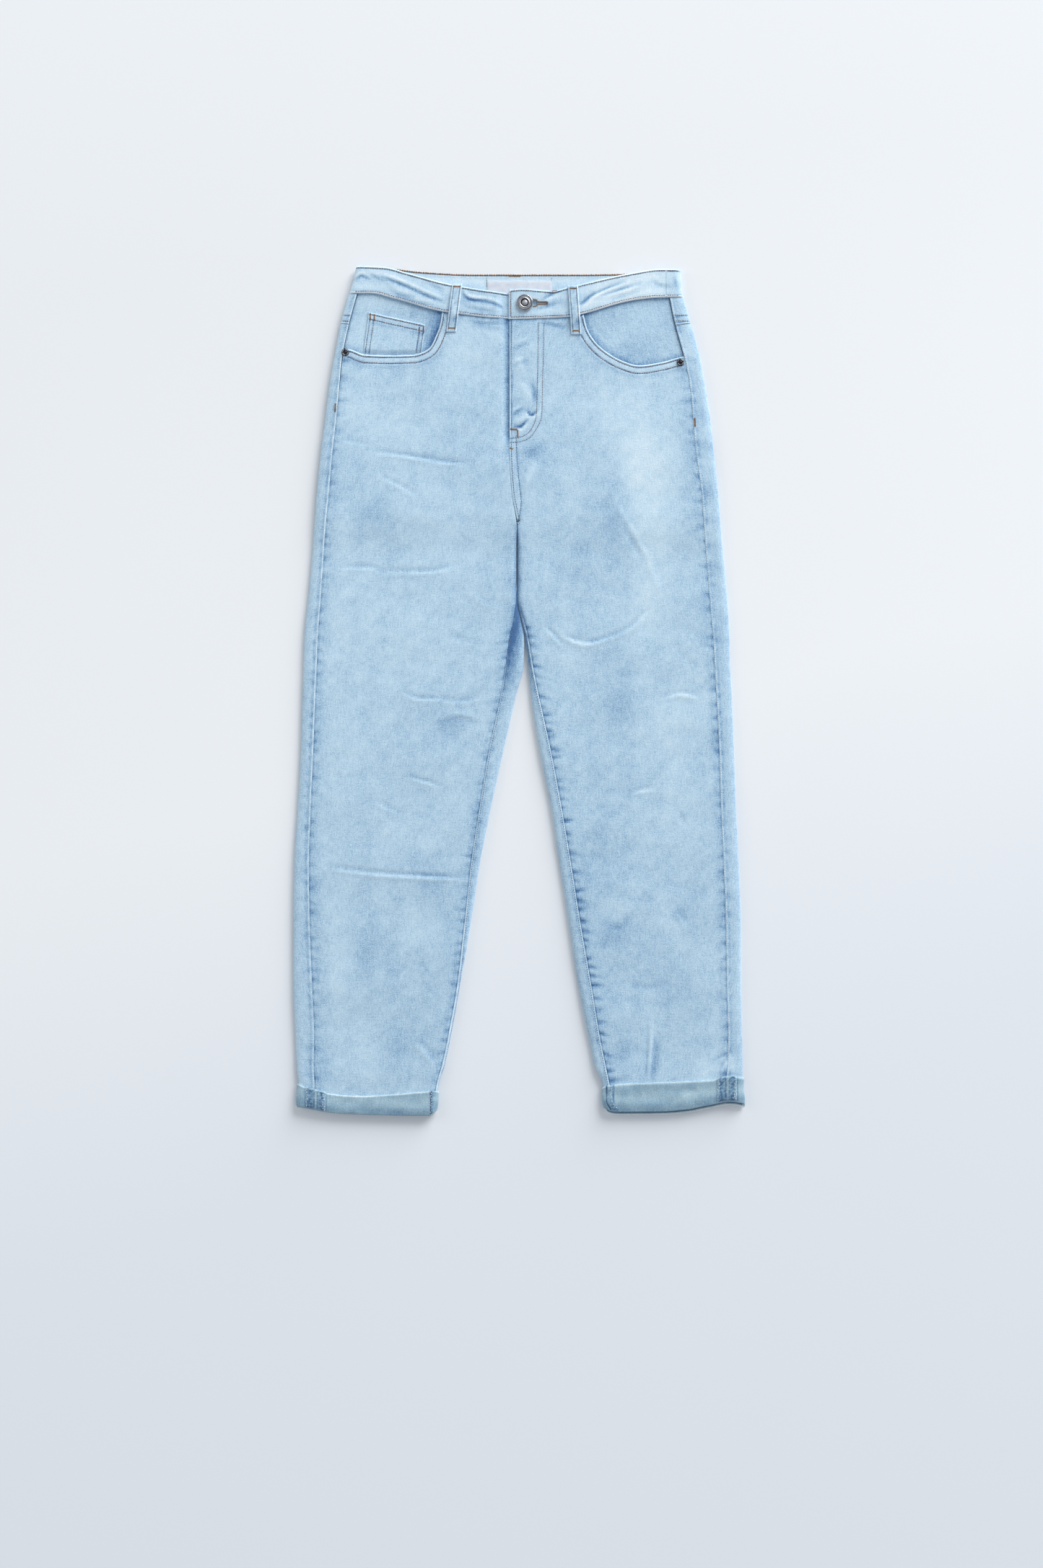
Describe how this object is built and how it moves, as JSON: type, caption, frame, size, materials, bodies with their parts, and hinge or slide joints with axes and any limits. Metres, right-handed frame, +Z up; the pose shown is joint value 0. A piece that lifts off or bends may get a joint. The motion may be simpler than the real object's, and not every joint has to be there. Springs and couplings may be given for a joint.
{
  "type": "straight jeans",
  "caption": "Light-blue straight-leg denim jeans with turned-up cuffs, laid flat on their back with the front up and the fly closed.",
  "frame": {"origin": "middle of the flat outline, on the surface that the jeans lie on", "axes": "+X to the viewer's right with the front up, +Y from the hems to the waist, +Z up out of the front"},
  "size_m": [0.5158, 0.973, 0.0124],
  "materials": {
    "denim": "light-blue washed stretch denim, matt twill",
    "denim_facing": "light-blue washed denim, unworn",
    "denim_inside": "grey-blue inside face of the denim",
    "silver": "antique silver with dark recesses",
    "gunmetal": "black gunmetal",
    "label": "white woven satin, blank",
    "zip_tape": "plain blue-grey tape"
  },
  "bodies": {
    "root": {"front_left": "denim", "front_right": "denim", "back_left": "denim", "back_right": "denim", "back_yoke_left": "denim", "back_yoke_right": "denim", "pocket_facing_left": "denim_facing", "pocket_facing_right": "denim_facing", "coin_pocket": "denim_facing", "waistband_front_left": "denim", "waistband_front_right": "denim", "waistband_back": "denim", "fly_shield": "denim", "zip": "zip_tape", "waist_button": "silver", "rivet_left": "gunmetal", "rivet_right": "gunmetal", "belt_loop_front_left": "denim", "belt_loop_front_right": "denim", "belt_loop_back_left": "denim", "belt_loop_back_centre": "denim", "belt_loop_back_right": "denim", "back_pocket_left": "denim", "back_pocket_right": "denim", "cuff_left": "denim_inside", "cuff_right": "denim_inside", "inside_label": "label"}
  },
  "joints": []
}
